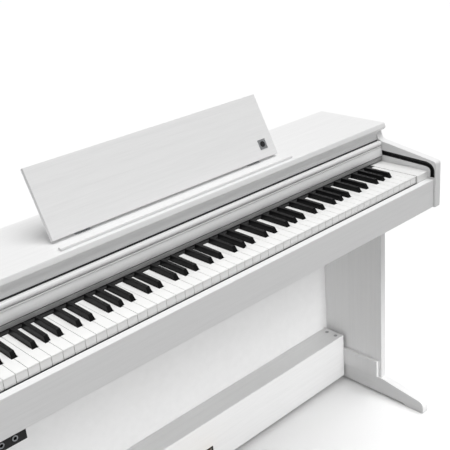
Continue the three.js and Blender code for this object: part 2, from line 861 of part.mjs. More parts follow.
// A pedal lever: rounded pad in front, neck through its slot, barrel on the axle.
function makePedal(side) {
  const x = side * PEDAL_PITCH;
  const tip = BOX_FRONT - PEDAL_OUT;
  const plan = [
    [x - 11.5, tip, 8],
    [x + 11.5, tip, 8],
    [x + 11.5, BOX_FRONT - 30, 8],
    [x + 8.5, BOX_FRONT - 4],
    [x + 8.5, PEDAL_AXIS],
    [x - 8.5, PEDAL_AXIS],
    [x - 8.5, BOX_FRONT - 4],
    [x - 11.5, BOX_FRONT - 30, 8],
  ];
  const lever = alongZ(plan, PEDAL_LEVEL - 3, PEDAL_LEVEL + 3, 5);
  const barrel = rodX(6.5, x - 8.5, x + 8.5, PEDAL_AXIS, PEDAL_LEVEL, 18);
  return cut(join(lever, barrel), rodX(3.3, x - 10, x + 10, PEDAL_AXIS, PEDAL_LEVEL));
}

// ---------------------------------------------------------------- assembly

add("lid", makeLid(), WHITE);
add("fascia_rail", makeFascia(), WHITE);
add("side_arm_right", makeArm(), WHITE);
add("side_arm_left", mirrored(makeArm()), WHITE);
add("guide_track_right", makeTrack(), BLACK);
add("guide_track_left", mirrored(makeTrack()), BLACK);
add("cheek_block_right", makeCheek(), WHITE);
add("cheek_block_left", makeControlCheek(), WHITE);
add("front_rail", makeFrontRail(), WHITE);
add("keybed", makeKeybed(), SHADE);
add("cabinet_back", makeCabinetBack(), SHADE);
add("socket_plate", makeJackPlate(), BLACK);
add("name_rail", makeNameRail(), SHADE);
add("headphone_box", makeHeadphoneBox(), BLACK);
add("speaker_right", makeSpeaker(1), BLACK);
add("speaker_left", makeSpeaker(-1), BLACK);
add("sound_module", makeSoundModule(), STEEL);
add("power_button", rodZ(BUTTON_RADIUS, KEY_TOP - 8, KEY_TOP + 2, CONTROL_X, BUTTON_Y), SHADE);
add("volume_knob", makeKnob(), SHADE);

add("key_frame", makeKeyFrame(), STEEL, 0.4, 0.6);
const whiteLow = KEY_TOP - WHITE_DEEP;
const singles = Array.from({ length: LAST_SINGLE - FIRST_SINGLE + 1 }, (_, i) => FIRST_SINGLE + i);
const lows = Array.from({ length: FIRST_SINGLE }, (_, i) => i);
const highs = Array.from({ length: WHITE_KEYS - LAST_SINGLE - 1 }, (_, i) => LAST_SINGLE + 1 + i);
const banks = [
  ["bass", lows],
  ["treble", highs],
];
banks.forEach(([place, whites]) => {
  const blacks = whites.filter(hasBlack);
  add("white_keys_" + place, makeBank(makeWhiteKey, whites, whiteMiddle, whiteLow, whiteLow + 8), WHITE, 0.3);
  add("black_keys_" + place, makeBank(makeBlackKey, blacks, blackAt, KEY_TOP - 10, KEY_TOP - 3), BLACK);
});
singles.forEach((white, i) => {
  add("white_key_" + (i + 1), makeWhiteKey(white), WHITE, 0.3);
});
singles.filter(hasBlack).forEach((white, i) => {
  add("black_key_" + (i + 1), makeBlackKey(white), BLACK);
});

add("cover_nose", makeCoverNose(), WHITE);
add("cover_face", makeCoverFace(), WHITE);
add("cover_panel", makeCoverPanel(), WHITE);

add("music_rest", makeRest(), WHITE);
add("book_stop", makeBookStop(), WHITE);
[-1, 1].forEach((side) => {
  const hand = side < 0 ? "left" : "right";
  add("rest_hinge_base_" + hand, makeHingeBase(side), STEEL, 0.4, 0.8);
  add("rest_hinge_leaf_" + hand, makeHingeLeaf(side), STEEL, 0.4, 0.8);
  add("rest_stay_" + hand, makeStay(side), STEEL, 0.4, 0.8);
});
add("stay_rail", makeStayRail(), STEEL, 0.4, 0.8);

add("leg_panel_right", makeLeg(), WHITE);
add("leg_panel_left", mirrored(makeLeg()), WHITE);
add("foot_right", makeFoot(), WHITE);
add("foot_left", mirrored(makeFoot()), WHITE);
add("base_rail_right", makeBaseRail(), WHITE);
add("base_rail_left", mirrored(makeBaseRail()), WHITE);
add("stand_back", makeStandBack(), WHITE);
add("pedal_box", makePedalBox(), WHITE);
add("pedal_axle", makePedalAxle(), STEEL, 0.4, 0.8);
["soft", "middle", "damper"].forEach((name, i) => {
  add("pedal_" + name, makePedal(i - 1), BRASS, 0.3, 0.9);
});

export default piano;
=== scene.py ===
"""Console digital piano on its stand: camera, studio light, finishes and detailed pieces."""
import json
import math
import bmesh
import bpy
from mathutils import Matrix, Vector

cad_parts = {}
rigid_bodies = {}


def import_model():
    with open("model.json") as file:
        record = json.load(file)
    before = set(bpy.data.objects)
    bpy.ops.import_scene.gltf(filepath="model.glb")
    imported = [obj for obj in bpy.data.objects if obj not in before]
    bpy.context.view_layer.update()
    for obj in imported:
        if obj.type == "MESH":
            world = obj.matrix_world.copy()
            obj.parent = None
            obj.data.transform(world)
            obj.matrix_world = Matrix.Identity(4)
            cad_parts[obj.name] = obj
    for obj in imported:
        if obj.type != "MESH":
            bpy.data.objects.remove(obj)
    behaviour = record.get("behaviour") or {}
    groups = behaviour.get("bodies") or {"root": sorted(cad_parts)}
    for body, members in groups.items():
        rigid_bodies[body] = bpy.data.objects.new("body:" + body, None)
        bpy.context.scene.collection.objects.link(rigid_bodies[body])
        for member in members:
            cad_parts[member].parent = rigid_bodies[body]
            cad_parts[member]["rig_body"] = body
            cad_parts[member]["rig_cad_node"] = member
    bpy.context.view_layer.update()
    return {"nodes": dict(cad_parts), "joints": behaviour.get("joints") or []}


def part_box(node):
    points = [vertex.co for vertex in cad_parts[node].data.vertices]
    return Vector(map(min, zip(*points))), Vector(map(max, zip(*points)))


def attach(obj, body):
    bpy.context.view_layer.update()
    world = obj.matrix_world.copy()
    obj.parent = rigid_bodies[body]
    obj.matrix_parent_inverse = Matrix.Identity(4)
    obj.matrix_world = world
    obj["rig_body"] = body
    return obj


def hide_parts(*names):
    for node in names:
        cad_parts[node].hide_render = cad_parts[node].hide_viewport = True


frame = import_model()
JOINTS = {joint["name"]: joint for joint in frame["joints"]}
NODES = frame["nodes"]
MM = 0.001

# ------------------------------------------------------------------ camera and studio

EYE = Vector((-1.0422, -1.2927, 1.4836))
HEADING = math.radians(41.573)  # turned from +Y towards +X
FALL = math.radians(23.003)
ROLL = math.radians(-4.943)
LENS = 65.59


def place_camera():
    ahead = Vector((math.sin(HEADING) * math.cos(FALL), math.cos(HEADING) * math.cos(FALL), -math.sin(FALL)))
    level = Vector((math.cos(HEADING), -math.sin(HEADING), 0))
    upright = level.cross(ahead)
    across = math.cos(ROLL) * level + math.sin(ROLL) * upright
    over = math.cos(ROLL) * upright - math.sin(ROLL) * level
    camera = bpy.data.cameras.new("camera")
    camera.lens, camera.sensor_width = LENS, 36
    camera.clip_start, camera.clip_end = 0.05, 100
    seen = bpy.data.objects.new("camera", camera)
    bpy.context.scene.collection.objects.link(seen)
    seen.matrix_world = Matrix.Translation(EYE) @ Matrix((across, over, -ahead)).transposed().to_4x4()
    bpy.context.scene.camera = seen


def linear(code):
    """An sRGB hex colour as linear RGBA."""
    parts = [int(code[i:i + 2], 16) / 255 for i in (1, 3, 5)]
    return tuple(c / 12.92 if c <= 0.04045 else ((c + 0.055) / 1.055) ** 2.4 for c in parts) + (1.0,)


def add_node(tree, kind, inputs=None, **settings):
    """A node with its settings; an input is a value or the socket it is fed from."""
    made = tree.nodes.new("ShaderNode" + kind)
    for key, value in settings.items():
        setattr(made, key, value)
    for socket, value in (inputs or {}).items():
        if isinstance(value, bpy.types.NodeSocket):
            tree.links.new(value, made.inputs[socket])
        else:
            made.inputs[socket].default_value = value
    return made


SKY_FRONT = 0.33  # light of the white tent on the player's side of the set
SKY_REAR = 0.46  # and behind it
SUN = 2.25
SUN_SPREAD = math.radians(50)
SUN_AIM = Vector((-0.16, 0.24, -1))
LOW_FILL = 1.4  # a strip light low in front of the stand
FILL_WIDTH, FILL_HEIGHT = 1.8, 0.25
FILL_SPREAD = math.radians(30)
FILL_PLACE = (0.2, -1.5, 0.32)
FILL_AIM = Vector((0, 1, -0.12))


def light_studio():
    world = bpy.data.worlds.new("tent")
    world.use_nodes = True
    tree = world.node_tree
    tree.nodes.clear()
    path = add_node(tree, "LightPath")
    way = add_node(tree, "SeparateXYZ", {0: add_node(tree, "TexCoord").outputs["Generated"]}).outputs["Y"]
    glow = spread(tree, way, SKY_FRONT, SKY_REAR, -0.5, 0.5)
    tent = add_node(tree, "Background", {0: (1, 1, 1, 1), 1: glow})
    paper = add_node(tree, "Background", {0: (1, 1, 1, 1), 1: 1.0})
    seen = path.outputs["Is Camera Ray"]
    both = add_node(tree, "MixShader", {0: seen, 1: tent.outputs[0], 2: paper.outputs[0]})
    add_node(tree, "OutputWorld", {0: both.outputs[0]})
    bpy.context.scene.world = world
    bpy.context.scene.view_settings.view_transform = "Standard"
    lamp = bpy.data.lights.new("soft_top_light", "SUN")
    lamp.energy, lamp.angle = SUN, SUN_SPREAD
    top = bpy.data.objects.new("soft_top_light", lamp)
    top.rotation_euler = SUN_AIM.to_track_quat("-Z", "Y").to_euler()
    bpy.context.scene.collection.objects.link(top)
    strip = bpy.data.lights.new("low_front_fill", "AREA")
    strip.shape, strip.size, strip.size_y = "RECTANGLE", FILL_WIDTH, FILL_HEIGHT
    strip.energy, strip.spread = LOW_FILL, FILL_SPREAD
    low = bpy.data.objects.new("low_front_fill", strip)
    low.location = FILL_PLACE
    low.rotation_euler = FILL_AIM.to_track_quat("-Z", "Y").to_euler()
    low.visible_camera = False
    bpy.context.scene.collection.objects.link(low)


# ------------------------------------------------------------------ making things

def deselect():
    if bpy.context.mode != "OBJECT":
        bpy.ops.object.mode_set(mode="OBJECT")
    bpy.ops.object.select_all(action="DESELECT")


def take(piece):
    deselect()
    piece.select_set(True)
    bpy.context.view_layer.objects.active = piece


def edit(piece):
    take(piece)
    bpy.ops.object.mode_set(mode="EDIT")
    bpy.ops.mesh.select_mode(type="FACE")
    bpy.ops.mesh.select_all(action="DESELECT")


def pick(piece, test):
    """In edit mode, selects only the faces whose middle and normal pass the test."""
    made = bmesh.from_edit_mesh(piece.data)
    for face in made.faces:
        face.select_set(False)
    for face in made.faces:
        if test(face.calc_center_median(), face.normal):
            face.select_set(True)
    made.select_flush_mode()
    bmesh.update_edit_mesh(piece.data)


def settle(piece):
    """Back to object mode, with the piece's place in its mesh."""
    take(piece)
    bpy.ops.object.transform_apply(location=True, rotation=True, scale=True)
    return piece


def block(name, low, high):
    """A block between two corners, ready to be shaped."""
    deselect()
    low, high = Vector(low), Vector(high)
    bpy.ops.mesh.primitive_cube_add(size=1, location=(low + high) / 2)
    piece = bpy.context.object
    piece.name = piece.data.name = name
    piece.scale = high - low
    return settle(piece)


def disc(name, middle, radius, height, sides=32, turn=(0, 0, 0)):
    """A short round bar, ready to be shaped; it stands on Z unless it is turned."""
    deselect()
    bpy.ops.mesh.primitive_cylinder_add(
        vertices=sides, radius=radius, depth=height, location=middle, rotation=turn
    )
    piece = bpy.context.object
    piece.name = piece.data.name = name
    return settle(piece)


def split(piece, point, normal):
    """A cut line all round the piece, in the plane through the point."""
    edit(piece)
    bpy.ops.mesh.select_all(action="SELECT")
    bpy.ops.mesh.bisect(plane_co=point, plane_no=normal)
    bpy.ops.mesh.select_all(action="DESELECT")


def rounded(piece, width, segments=2, corner=35, smooth=50):
    """Rounds every edge sharper than corner degrees and shades the flats flat."""
    take(piece)
    rounding = piece.modifiers.new("rounding", "BEVEL")
    rounding.width, rounding.segments = width, segments
    rounding.limit_method, rounding.angle_limit = "ANGLE", math.radians(corner)
    bpy.ops.object.modifier_apply(modifier="rounding")
    bpy.ops.object.shade_smooth_by_angle(angle=math.radians(smooth))
    flats = piece.modifiers.new("flats", "WEIGHTED_NORMAL")
    flats.keep_sharp, flats.weight = True, 100
    bpy.ops.object.modifier_apply(modifier="flats")
    return piece


def dressed(node, name, width=0.8 * MM, segments=2, corner=35, smooth=50):
    """A whole copy of a CAD node with rounded edges, which stands for it."""
    take(NODES[node])
    bpy.ops.object.duplicate(linked=False)
    piece = bpy.context.object
    piece.name = piece.data.name = name
    piece.parent = None
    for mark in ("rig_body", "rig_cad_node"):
        del piece[mark]
    edit(piece)
    bpy.ops.mesh.select_all(action="SELECT")
    bpy.ops.mesh.remove_doubles(threshold=0.002 * MM)
    bpy.ops.mesh.dissolve_limited(angle_limit=math.radians(0.4))
    bpy.ops.mesh.normals_make_consistent(inside=False)
    settle(piece)
    if width:
        rounded(piece, width, segments, corner, smooth)
    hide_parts(node)
    return piece


def copied(piece, name, shift):
    """A copy with its own mesh, moved by shift."""
    take(piece)
    bpy.ops.object.duplicate(linked=False)
    twin = bpy.context.object
    twin.name = twin.data.name = name
    twin.location = shift
    return settle(twin)


def finish(piece, material, body):
    """Gives a piece its material and its body."""
    piece.data.materials.clear()
    piece.data.materials.append(material)
    for face in piece.data.polygons:
        face.material_index = 0
    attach(piece, body)
    return piece


# ------------------------------------------------------------------ materials

def start_material(name):
    material = bpy.data.materials.new(name)
    material.use_nodes = True
    tree = material.node_tree
    tree.nodes.clear()
    shader = add_node(tree, "BsdfPrincipled")
    add_node(tree, "OutputMaterial", {"Surface": shader.outputs[0]})
    place = add_node(tree, "TexCoord").outputs["Object"]
    return material, tree, shader, place


def stretched(tree, place, per_metre):
    return add_node(tree, "Mapping", {"Vector": place, "Scale": per_metre}).outputs[0]


def mixed(tree, share, first, second):
    return add_node(tree, "Mix", {0: share, 6: linear(first), 7: linear(second)}, data_type="RGBA").outputs[2]


def spread(tree, value, low, high, from_low=0.3, from_high=0.7):
    reach = {0: value, 1: from_low, 2: from_high, 3: low, 4: high}
    return add_node(tree, "MapRange", reach).outputs[0]


def link(tree, output, shader, name):
    tree.links.new(output, shader.inputs[name])


PORE_WIDTH = 1.6 * MM  # printed pores are about 0.5 mm wide, drawn wider so that they still show
PORE_LENGTH = 60 * MM
FIGURE_WIDTH = 9 * MM
FIGURE_LENGTH = 420 * MM


def grain_foil(name, run, light="#f0f0f0", dark="#ebebeb"):
    """Satin white foil on fibreboard: faint embossed wood grain, a soft sheen, no colour of its own."""
    material, tree, shader, place = start_material(name)

    def per_metre(width, length):
        return tuple(1 / length if axis == run else 1 / width for axis in "XYZ")

    figure = add_node(tree, "TexNoise", {
        "Vector": stretched(tree, place, per_metre(FIGURE_WIDTH, FIGURE_LENGTH)), "Scale": 1.0, "Detail": 3.0,
        "Distortion": 0.4}).outputs[0]
    pores = add_node(tree, "TexNoise", {
        "Vector": stretched(tree, place, per_metre(PORE_WIDTH, PORE_LENGTH)), "Scale": 1.0,
        "Detail": 2.0}).outputs[0]
    both = add_node(tree, "Math", {0: figure, 1: pores}, operation="MULTIPLY").outputs[0]
    link(tree, mixed(tree, spread(tree, both, 0, 1, 0.12, 0.42), light, dark), shader, "Base Color")
    link(tree, spread(tree, figure, 0.40, 0.50), shader, "Roughness")
    relief = add_node(tree, "Bump", {"Strength": 0.14, "Distance": 0.05 * MM, "Height": both})
    link(tree, relief.outputs[0], shader, "Normal")
    shader.inputs["IOR"].default_value = 1.46
    return material


def even_plastic(name, light, dark, roughness, speck=3 * MM, relief=0.02 * MM, coat=0.0, ior=1.49):
    """Moulded or painted surface: nearly even colour, a fine unevenness of the gloss."""
    material, tree, shader, place = start_material(name)
    cloud = add_node(tree, "TexNoise", {
        "Vector": place, "Scale": 1 / speck, "Detail": 3.0}).outputs[0]
    link(tree, mixed(tree, spread(tree, cloud, 0, 1), light, dark), shader, "Base Color")
    link(tree, spread(tree, cloud, roughness * 0.88, roughness * 1.12), shader, "Roughness")
    bump = add_node(tree, "Bump", {"Strength": 0.3, "Distance": relief, "Height": cloud})
    link(tree, bump.outputs[0], shader, "Normal")
    shader.inputs["IOR"].default_value = ior
    shader.inputs["Coat Weight"].default_value = coat
    return material


def brushed_metal(name, light, dark, roughness, run="X", line=0.8 * MM):
    """Rolled or polished metal: fine lines along one way."""
    material, tree, shader, place = start_material(name)
    per_metre = tuple(1 / (line * 60) if axis == run else 1 / line for axis in "XYZ")
    lines = add_node(tree, "TexNoise", {
        "Vector": stretched(tree, place, per_metre), "Scale": 1.0, "Detail": 2.0}).outputs[0]
    link(tree, mixed(tree, spread(tree, lines, 0, 1), light, dark), shader, "Base Color")
    link(tree, spread(tree, lines, roughness * 0.8, roughness * 1.25), shader, "Roughness")
    shader.inputs["Metallic"].default_value = 1.0
    return material


def pressed_felt(name, light, dark):
    """Wool felt: matt, fibrous, with a little sheen."""
    material, tree, shader, place = start_material(name)
    fibres = add_node(tree, "TexNoise", {
        "Vector": place, "Scale": 1 / (1.2 * MM), "Detail": 4.0, "Distortion": 1.5}).outputs[0]
    link(tree, mixed(tree, spread(tree, fibres, 0, 1), light, dark), shader, "Base Color")
    bump = add_node(tree, "Bump", {"Strength": 0.6, "Distance": 0.2 * MM, "Height": fibres})
    link(tree, bump.outputs[0], shader, "Normal")
    shader.inputs["Roughness"].default_value = 0.95
    shader.inputs["Sheen Weight"].default_value = 0.3
    return material


foil_long = grain_foil("white_grain_foil_along_x", "X")
foil_deep = grain_foil("white_grain_foil_along_y", "Y")
foil_upright = grain_foil("white_grain_foil_upright", "Z")
# Glued 1 mm edging, smoother than foil and set a little darker than it.
edge_band = even_plastic("white_abs_edge_band", "#e0e0e0", "#dcdcdc", 0.35)
hardboard = even_plastic("white_painted_hardboard", "#f4f4f4", "#f1f1f1", 0.6, 20 * MM, 0.02 * MM)
melamine = even_plastic("white_melamine_board", "#e9e9e8", "#e2e2e1", 0.5, 5 * MM)
key_white = even_plastic("ivory_white_acrylic", "#fbfbfa", "#f8f8f7", 0.16, 30 * MM, 0.01 * MM, 0.25)
# Fine matt moulding: its index is set below the resin's own 1.5 or so, to keep the keys' tops dark.
key_black = even_plastic("matt_black_phenolic", "#08080a", "#040405", 0.34, 1.2 * MM, 0.03 * MM, 0.0, 1.3)
black_nylon = even_plastic("black_nylon", "#0b0b0c", "#070708", 0.5, 2 * MM)
black_abs = even_plastic("textured_black_abs", "#1a1a1c", "#121214", 0.55, 0.9 * MM, 0.06 * MM)
white_abs = even_plastic("satin_white_abs", "#f3f3f2", "#eeeeed", 0.38, 4 * MM)
# Grey-white lacquer for the name strip, darkened to mid grey: the darkness is painted shade of its place
# under the key cover.
name_strip_painted_shade_grey = even_plastic("grey_white_lacquer_with_painted_shade", "#a2a2a2", "#9a9a9a", 0.42, 4 * MM)
grey_abs = even_plastic("grey_abs_cap", "#a9a9aa", "#9d9d9e", 0.5, 1.5 * MM)
light_pipe = even_plastic("milky_light_pipe", "#d7e6d2", "#c9dcc4", 0.25, 1 * MM)
cone_paper = even_plastic("black_pulp_cone", "#1d1d1e", "#131314", 0.8, 0.8 * MM, 0.1 * MM)
powder_coat = even_plastic("grey_powder_coat", "#7c7f83", "#6f7276", 0.5, 1 * MM, 0.06 * MM)
# Black felt for the strip behind the keys; on the strips at the keyboard's ends the same black is painted
# shade of the gaps by the cheeks.
black_felt_and_gap_shade = pressed_felt("black_key_felt_and_painted_gap_shade", "#0e0e0f", "#070708")
# Dark grey felt for the strip in the slot under the rail: its tone is painted shade of the slot gap.
slot_shade_dark_grey_felt = pressed_felt("dark_grey_felt_painted_as_slot_shade", "#343435", "#29292a")
zinc_steel = brushed_metal("zinc_plated_steel", "#c3c6c9", "#a4a8ac", 0.32)
satin_steel = brushed_metal("satin_steel_plate", "#d3d5d7", "#b9bcbf", 0.28, "Z")
brass = brushed_metal("polished_brass", "#d8b058", "#c79c43", 0.16, "Y")
screw_steel = brushed_metal("nickel_plated_screw", "#b4b6b8", "#8f9295", 0.35)

# ------------------------------------------------------------------ boards of the cabinet

place_camera()
light_studio()


def make_boards():
    long_boards = {
        "lid": ("lid_board", 1.0), "fascia_rail": ("fascia_board", 0.8),
        "front_rail": ("front_rail_board", 1.6), "pedal_box": ("pedal_box_boards", 1.2),
    }
    for node, (name, width) in long_boards.items():
        finish(dressed(node, name, width * MM), foil_long, "cabinet")
    for side in ("left", "right"):
        finish(dressed("side_arm_" + side, "arm_board_" + side, 1.3 * MM, 3), foil_deep, "cabinet")
        finish(dressed("foot_" + side, "foot_board_" + side, 1.2 * MM), foil_deep, "cabinet")
        rail = dressed("base_rail_" + side, "base_rail_board_" + side, 1.5 * MM)
        finish(rail, foil_upright, "cabinet")
        finish(dressed("cheek_block_" + side, "cheek_" + side, 0.9 * MM), white_abs, "cabinet")
        liner = dressed("guide_track_" + side, "track_liner_" + side, 0.3 * MM)
        finish(liner, black_nylon, "cabinet")
    finish(dressed("name_rail", "name_strip", 0.5 * MM), name_strip_painted_shade_grey, "cabinet")
    finish(dressed("cover_nose", "cover_handle", 0.6 * MM), foil_long, "key_cover")
    finish(dressed("cover_face", "cover_front", 0.5 * MM), foil_long, "key_cover")
    finish(dressed("cover_panel", "cover_board", 0.5 * MM), foil_long, "key_cover")
    finish(dressed("music_rest", "rest_board", 1.2 * MM, 3), foil_long, "music_rest")
    finish(dressed("book_stop", "book_stop_strip", 0.8 * MM), foil_long, "cabinet")


EDGE = 1.0 * MM


def make_legs():
    """A leg is a foiled board with a glued edge band along its front."""
    for side in ("left", "right"):
        node = "leg_panel_" + side
        low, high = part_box(node)
        board = block("leg_board_" + side, (low.x, low.y + EDGE, low.z), high)
        rounded(board, 0.4 * MM)
        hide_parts(node)
        finish(board, foil_upright, "cabinet")
        band = block("leg_edge_" + side, low, (high.x, low.y + EDGE - 0.02 * MM, high.z))
        edit(band)
        pick(band, lambda middle, normal: normal.y < -0.9)
        bpy.ops.mesh.inset(thickness=0.8 * MM)
        bpy.ops.mesh.select_all(action="SELECT")
        bpy.ops.mesh.normals_make_consistent(inside=False)
        settle(band)
        rounded(band, 0.35 * MM)
        finish(band, edge_band, "cabinet")


# ------------------------------------------------------------------ keys

WHITE_KEYS = 52
GAP = 1.0 * MM
HALF_BLACK = 5.7 * MM
BLACK_SHIFT = {0: 3.4, 2: -2.3, 3: 2.3, 5: -3.4, 6: 0}  # mm, by the place of the white key before it
KEY_LOW, KEY_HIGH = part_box("white_key_1")
KEYS_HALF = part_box("white_keys_treble")[1].x + GAP / 2
PITCH = 2 * KEYS_HALF / WHITE_KEYS
TAIL_END = KEY_LOW.y + 130 * MM
NOTCH = KEY_LOW.y + 45 * MM
FIRST_SINGLE, LAST_SINGLE = 23, 29


def has_black(white):
    return 0 <= white < WHITE_KEYS - 1 and white % 7 in BLACK_SHIFT


def edge_of(white):
    return -KEYS_HALF + PITCH * white


def black_at(white):
    return edge_of(white + 1) + BLACK_SHIFT[white % 7] * MM * PITCH / (23.5 * MM)


def model_white_key(white, name):
    """A key top with its lip, waist and tail."""
    left, right = edge_of(white) + GAP / 2, edge_of(white + 1) - GAP / 2
    clear = HALF_BLACK + GAP
    tail_left = black_at(white - 1) + clear if has_black(white - 1) else left
    tail_right = black_at(white) - clear if has_black(white) else right
    low, high = KEY_LOW.z, KEY_HIGH.z
    key = block(name, (left, KEY_LOW.y, low), (right, NOTCH, high))
    for x in (tail_left, tail_right):
        if left + 0.1 * MM < x < right - 0.1 * MM:
            split(key, (x, 0, 0), (1, 0, 0))
    edit(key)
    pick(key, lambda middle, normal: normal.y > 0.9 and tail_left < middle.x < tail_right)
    bpy.ops.mesh.extrude_region_move(TRANSFORM_OT_translate={"value": (0, TAIL_END - NOTCH, 0)})
    split(key, (0, 0, low + 8 * MM), (0, 0, 1))
    pick(key, lambda middle, normal: normal.y > 0.9 and middle.y > TAIL_END - MM and middle.z < low + 8 * MM)
    bpy.ops.mesh.extrude_region_move(TRANSFORM_OT_translate={"value": (0, KEY_HIGH.y - TAIL_END, 0)})
    lip = high - 2.8 * MM
    split(key, (0, 0, lip), (0, 0, 1))
    split(key, (0, 0, lip - 0.8 * MM), (0, 0, 1))
    front = KEY_LOW.y + MM
    pick(key, lambda middle, normal: normal.y < -0.9 and middle.y < front and middle.z < lip - 0.8 * MM)
    bpy.ops.transform.translate(value=(0, 1.0 * MM, 0))
    settle(key)
    return rounded(key, 0.55 * MM, 3)


def model_black_key(white, name):
    """A black key: a slim block, tapered to its top, with a sloping front."""
    x = black_at(white)
    low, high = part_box("black_key_1")
    near, far, base = low.y, low.y + 82 * MM, KEY_HIGH.z - 1.5 * MM
    key = block(name, (x - HALF_BLACK, near, base), (x + HALF_BLACK, far, high.z))
    edit(key)
    pick(key, lambda middle, normal: normal.z > 0.9)
    bpy.ops.transform.resize(value=(0.78, 1, 1), center_override=(x, 0, high.z))
    made = bmesh.from_edit_mesh(key.data)
    for vertex in made.verts:
        if vertex.co.z > high.z - MM:
            vertex.co.y += 7.5 * MM if vertex.co.y < near + MM else -0.8 * MM
            if vertex.co.y < near + 20 * MM:
                vertex.co.z -= 1.2 * MM
    bmesh.update_edit_mesh(key.data)
    pick(key, lambda middle, normal: normal.z < -0.9)
    bpy.ops.mesh.extrude_region_move(TRANSFORM_OT_translate={"value": (0, 0, low.z - base)})
    split(key, (0, 0, KEY_HIGH.z - 10 * MM), (0, 0, 1))
    split(key, (0, 0, KEY_HIGH.z - 3 * MM), (0, 0, 1))
    pick(key, lambda middle, normal: normal.y > 0.9 and -10 * MM < middle.z - KEY_HIGH.z < -3 * MM)
    bpy.ops.mesh.inset(thickness=1.6 * MM)
    bpy.ops.mesh.extrude_region_move(TRANSFORM_OT_translate={"value": (0, high.y - far, 0)})
    settle(key)
    return rounded(key, 1.3 * MM, 3, 30, 60)


def make_keys():
    """Each shape of key is modelled once, in the lowest octave that has it, and copied upwards."""
    shapes, banks = {}, {}
    names = [("white", w) for w in range(WHITE_KEYS)]
    names += [("black", w) for w in range(WHITE_KEYS) if has_black(w)]
    for colour, white in names:
        whole = 0 < white < WHITE_KEYS - 1
        shape = (colour, white % 7 if whole or colour == "black" else white)
        name = f"{colour}_key_at_{white + 1:02d}"
        if shape in shapes:
            first, at = shapes[shape]
            key = copied(first, name, (PITCH * (white - at), 0, 0))
        else:
            model = model_white_key if colour == "white" else model_black_key
            key = model(white, name)
            shapes[shape] = (key, white)
        if FIRST_SINGLE <= white <= LAST_SINGLE:
            order = [w for w in range(FIRST_SINGLE, LAST_SINGLE + 1) if colour == "white" or has_black(w)]
            body = f"{colour}_key_{order.index(white) + 1}"
        else:
            body = f"{colour}_keys_" + ("bass" if white < FIRST_SINGLE else "treble")
        banks.setdefault(body, []).append((key, colour))
    for body, keys in banks.items():
        for key, colour in keys:
            ivory = colour == "white"
            material = key_white if ivory else key_black
            finish(key, material, body)
        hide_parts(body)
    cabinet_half = KEYS_HALF + 0.5 * MM
    felt = block("key_felt", (-cabinet_half, TAIL_END + 2 * MM, KEY_HIGH.z - 2.4 * MM),
                 (cabinet_half, TAIL_END + 24 * MM, KEY_HIGH.z + 0.6 * MM))
    finish(rounded(felt, 1.0 * MM), black_felt_and_gap_shade, "cabinet")
    # The strips at both ends of the keyboard, flush with the key tops, are painted shade: black standing for
    # the gap between the end keys and the cheeks.
    for hand, side in (("left", -1), ("right", 1)):
        ends = sorted((side * (KEYS_HALF - 0.35 * MM), side * (KEYS_HALF + 0.75 * MM)))
        strip = block("end_gap_shade_strip_" + hand, (ends[0], KEY_LOW.y + 1 * MM, KEY_HIGH.z - 15 * MM),
                      (ends[1], TAIL_END + 2 * MM, KEY_HIGH.z - 0.05 * MM))
        finish(rounded(strip, 0.2 * MM), black_felt_and_gap_shade, "cabinet")


def make_slot_shade_strip():
    """A dark wiper strip along the foot of the rail under the lid, just over the cover's handle: a guess; its
    dark grey is painted shade of the slot between rail and handle.
    """
    low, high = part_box("fascia_rail")
    strip = block("slot_shade_strip", (low.x + 1 * MM, low.y + 3.1 * MM, low.z - 2.2 * MM),
                  (high.x - 1 * MM, low.y + 3.95 * MM, low.z + 2.0 * MM))
    finish(rounded(strip, 0.2 * MM), slot_shade_dark_grey_felt, "cabinet")


# ------------------------------------------------------------------ small parts

REST_TILT = math.radians(27)
EMBLEM_AT = 0.2845  # right of the middle of the rest


def make_emblem():
    """A plain square plate with a dark ring, on the lower right of the music rest."""
    hinge = Vector(JOINTS["rest_fold"]["pos_m"])
    side, thick, up, front = 24 * MM, 1.0 * MM, 28.5 * MM, -8.5 * MM
    plate = block("emblem_plate", (-side / 2, front - thick, up - side / 2),
                  (side / 2, front - 0.02 * MM, up + side / 2))
    edit(plate)
    pick(plate, lambda middle, normal: normal.y < -0.9)
    bpy.ops.mesh.inset(thickness=1.6 * MM)
    bpy.ops.transform.translate(value=(0, 0.3 * MM, 0))
    settle(plate)
    rounded(plate, 0.2 * MM)
    ring = disc("emblem_ring", (0, front - thick + 0.1 * MM, up), 7.2 * MM, 0.5 * MM, 40, (math.pi / 2, 0, 0))
    edit(ring)
    pick(ring, lambda middle, normal: normal.y < -0.9)
    bpy.ops.mesh.inset(thickness=3.6 * MM)
    bpy.ops.transform.translate(value=(0, 0.35 * MM, 0))
    settle(ring)
    rounded(ring, 0.1 * MM)
    for piece, material, slot in ((plate, satin_steel, "steel"), (ring, black_abs, "black_plastic")):
        piece.rotation_euler = (-REST_TILT, 0, 0)
        piece.location = hinge + Vector((EMBLEM_AT, 0, 0))
        settle(piece)
        finish(piece, material, "music_rest")


def screw_head(name, middle, radius, turn=(0, 0, 0)):
    """A low round head with a round recess."""
    head = disc(name, (0, 0, 0), radius, 1.6 * MM, 20)
    edit(head)
    pick(head, lambda middle, normal: normal.z > 0.9)
    bpy.ops.mesh.inset(thickness=radius * 0.35)
    bpy.ops.transform.translate(value=(0, 0, 0.35 * MM))
    bpy.ops.mesh.inset(thickness=radius * 0.3)
    bpy.ops.transform.translate(value=(0, 0, -0.8 * MM))
    settle(head)
    rounded(head, 0.15 * MM, 1)
    head.rotation_euler = turn
    head.location = middle
    return settle(head)


CAP_AT = 0.633  # middle of the pedal box to its caps
CAP_ROWS = (0.130, 0.164)
BACK_SCREWS = (-0.63, -0.42, -0.21, 0, 0.21, 0.36, 0.63)
STAND_SCREWS = (-0.63, -0.38, -0.13, 0.13, 0.38, 0.63)


